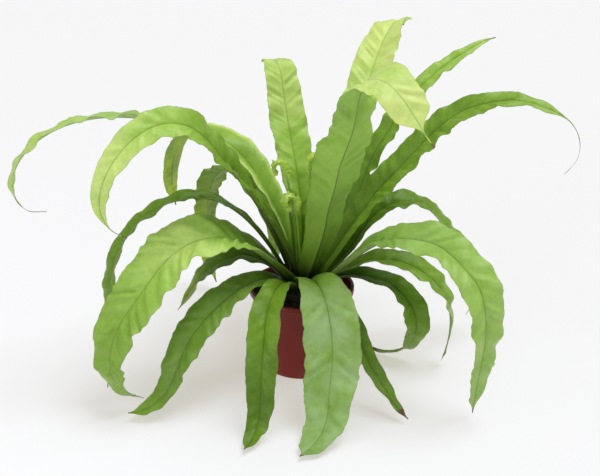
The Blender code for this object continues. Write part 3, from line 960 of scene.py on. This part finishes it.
# ---- young fronds ----
def crozier_path(crozier, steps):
    """Points, directions and bearings along a young frond, and how far into its curl."""
    turn = radians(crozier.curl_turn)
    curl = crozier.curl_radius * turn
    length = crozier.stem + curl
    place = np.linspace(0, length, steps)
    past = np.clip((place - crozier.stem) / curl, 0, 1)
    climb = np.radians(along(crozier.climb, place / crozier.stem)) - past * turn
    heading = np.full_like(place, radians(crozier.heading))
    direction = direction_of(heading, climb)
    middle = 0.5 * (direction[1:] + direction[:-1]) * np.diff(place)[:, None]
    start = foot_on_crown("high", crozier.seat)
    points = np.concatenate([[start], start + np.cumsum(middle, axis=0)])
    return points, direction, heading, past, place


def crozier_mesh(crozier, settings, rng):
    """Stalk and crumpled blade, with how far along and how young each point is."""
    points, direction, heading, past, run = crozier_path(crozier, 130)
    side, normal = cross_axes(direction, heading)
    grown = smooth(0.80 * crozier.stem, crozier.stem, run)
    radius = crozier.stem_radius * (1.15 - 0.45 * run / run[-1]) * (1 - 0.5 * past**4)
    turns = np.linspace(0, 2 * pi, 12, endpoint=False)
    tube = np.stack([points + radius[:, None] * (cos(a) * side + sin(a) * normal)
                     for a in turns], axis=1)
    rows, count = tube.shape[:2]
    tube_faces = [(i * count + j, i * count + (j + 1) % count,
                   (i + 1) * count + (j + 1) % count, (i + 1) * count + j)
                  for i in range(rows - 1) for j in range(count)]
    tube_faces += [tuple(range(count))[::-1],
                   tuple((rows - 1) * count + j for j in range(count))]
    wing = slice(int(0.30 * rows), rows)
    base, out, up = points[wing], side[wing], normal[wing]
    open_up = (0.10 * settings.ribbon
               + 0.9 * settings.ribbon * grown[wing] * (1 - 0.3 * past[wing])) / 2
    columns = 13
    place = np.linspace(-1, 1, columns)
    crumple = np.stack([wander(rng, run[wing], 0.0052) * (p * p) for p in place], axis=1)
    crumple += 0.6 * np.stack([wander(rng, run[wing], 0.0031, 1) * abs(p)
                               for p in place], axis=1)
    grow = (0.2 + 0.8 * grown[wing])[:, None]
    cupped = 0.9 * open_up[:, None] * np.abs(place)[None, :] ** 1.4
    ribbon = (base[:, None, :] + out[:, None, :] * (open_up[:, None] * place)[..., None]
              + up[:, None, :] * (cupped + settings.ruffle * grow * crumple)[..., None])
    back = ribbon - 0.00035 * up[:, None, :]
    sheets = np.concatenate([ribbon.reshape(-1, 3), back.reshape(-1, 3)])
    parts = [(tube.reshape(-1, 3), tube_faces, 0.0),
             (sheets, sheet_faces(ribbon.shape[0], columns), 1.0)]
    far = np.repeat(run, count)
    wide = np.tile(np.repeat(run[wing], columns), 2)
    young = np.concatenate([np.repeat(0.25 + 0.75 * grown, count),
                            np.tile(np.repeat(0.35 + 0.65 * grown[wing], columns), 2)])
    all_points, faces, _ = gather(parts)
    return mesh_from(crozier.name + "_bud", all_points, faces,
                     {"run": np.concatenate([far, wide]), "young": young})


def bud_matter(settings):
    """Soft lime tissue, paler in patches on the crumples: partly its own colour, partly painted light
    glowing through it.
    """
    paint = Paint("bud_matter", Subsurface_Weight=0.45, **LEAF_GLOW)
    fine = paint.noise(420.0, 4.0, 0.6)
    cloud = paint.noise(90.0, 3.0, 0.5)
    young = paint.fact("young")
    base = paint.mix(young, settings.stem, settings.colour)
    # pale lime patches: partly the tissue's colour, partly painted light glowing through it
    base = paint.mix(paint.step(cloud, 0.35, 0.70) * 0.5 * young, base, (0.62, 0.78, 0.22))
    foot = paint.step(paint.fact("run"), 0.006, 0.030, 1.0, 0.0)
    base = paint.mix(foot * 0.8, base, (0.018, 0.020, 0.006))
    hair = paint.step(paint.noise(1500.0, 2.0, 0.5), 0.62, 0.70) * 0.5 * (1 - young)
    base = paint.mix(hair, base, (0.09, 0.05, 0.02))
    rough = 0.42 + 0.2 * fine
    return paint.feed(Base_Color=base, Roughness=rough, Normal=paint.bump(fine, 0.0003, 0.6))


class FERN_OT_croziers(bpy.types.Operator):
    """Young fronds: a stalk with painted hairs and a crumpled, unopened blade"""

    bl_idname = "fern.croziers"
    bl_label = "Build croziers"

    def execute(self, context):
        settings = context.scene.fern_croziers
        matter = bud_matter(settings)
        for number, crozier in enumerate(CROZIERS):
            rng = np.random.default_rng(90 + number)
            mesh = crozier_mesh(crozier, settings, rng)
            finish_object(crozier.name + "_bud", mesh, matter, crozier.name, 55)
        return {"FINISHED"}


# ---- studio ----
class FERN_OT_stage(bpy.types.Operator):
    """Plain pale floor, soft studio light and the camera"""

    bl_idname = "fern.stage"
    bl_label = "Build stage"

    def execute(self, context):
        settings = context.scene.fern_stage
        scene = context.scene
        scene.view_settings.view_transform = "Standard"
        bpy.ops.mesh.primitive_circle_add(vertices=96, radius=7.0, fill_type="NGON")
        floor = context.object
        floor.name = "studio_floor"
        paint = Paint("studio_floor", Roughness=0.75, Emission_Strength=1.0)
        drift = paint.noise(1.2, 2.0, 0.5)
        tint = paint.mix(drift * 0.3, settings.floor, [0.985 * c for c in settings.floor])
        haze = paint.mix(drift * 0.3, settings.glow, [0.985 * c for c in settings.glow])
        floor.data.materials.append(paint.feed(Base_Color=tint, Emission_Color=haze))

        world = bpy.data.worlds.new("studio_air")
        world.use_nodes = True
        sky = world.node_tree.nodes["Background"]
        sky.inputs["Color"].default_value = (*settings.air, 1.0)
        sky.inputs["Strength"].default_value = settings.fill
        scene.world = world

        sun = bpy.data.lights.new("studio_overhead", "SUN")
        sun.energy, sun.angle, sun.color = settings.sun, settings.sun_angle, (0.96, 0.99, 1.0)
        side = bpy.data.lights.new("studio_side", "AREA")
        side.shape, side.size, side.energy = "DISK", 0.9, settings.side
        for light, at in ((sun, (0.45, 0.10, 1.50)), (side, (-1.00, -1.10, 0.80))):
            lamp = new_object(light.name, light)
            lamp.location = at
            aim = Vector((0, 0, 0.12)) - Vector(at)
            lamp.rotation_euler = aim.to_track_quat("-Z", "Y").to_euler()

        lens = bpy.data.cameras.new("studio_camera")
        lens.lens, lens.sensor_width = settings.lens, 36.0
        camera = new_object("studio_camera", lens)
        tilt = settings.elevation
        camera.location = (-0.0018, -settings.distance * cos(tilt),
                           0.1575 + settings.distance * sin(tilt))
        camera.rotation_euler = (pi / 2 - tilt, 0.0, 0.0)
        scene.camera = camera
        return {"FINISHED"}


# ---- add-on ----
STEPS = (FERN_OT_pot, FERN_OT_soil, FERN_OT_crown, FERN_OT_fronds, FERN_OT_croziers,
         FERN_OT_stage)
SETTINGS = {
    "fern_pot": PotSettings,
    "fern_soil": SoilSettings,
    "fern_crown": CrownSettings,
    "fern_fronds": FrondSettings,
    "fern_croziers": CrozierSettings,
    "fern_stage": StageSettings,
}


class FERN_PT_panel(bpy.types.Panel):
    """Settings and steps of the potted fern"""

    bl_label = "Potted strap fern"
    bl_space_type = "VIEW_3D"
    bl_region_type = "UI"
    bl_category = "Fern"

    def draw(self, context):
        for (key, group), step in zip(SETTINGS.items(), STEPS):
            box = self.layout.box()
            for name in group.__annotations__:
                box.prop(getattr(context.scene, key), name)
            box.operator(step.bl_idname)


CLASSES = (*SETTINGS.values(), *STEPS, FERN_PT_panel)


def register():
    for group in CLASSES:
        bpy.utils.register_class(group)
    for key, group in SETTINGS.items():
        setattr(bpy.types.Scene, key, PointerProperty(type=group))


def unregister():
    for key in SETTINGS:
        delattr(bpy.types.Scene, key)
    for group in reversed(CLASSES):
        bpy.utils.unregister_class(group)


def main():
    register()
    for step in STEPS:
        group, name = step.bl_idname.split(".")
        getattr(getattr(bpy.ops, group), name)()
    bpy.context.view_layer.update()


if __name__ == "__main__":
    main()
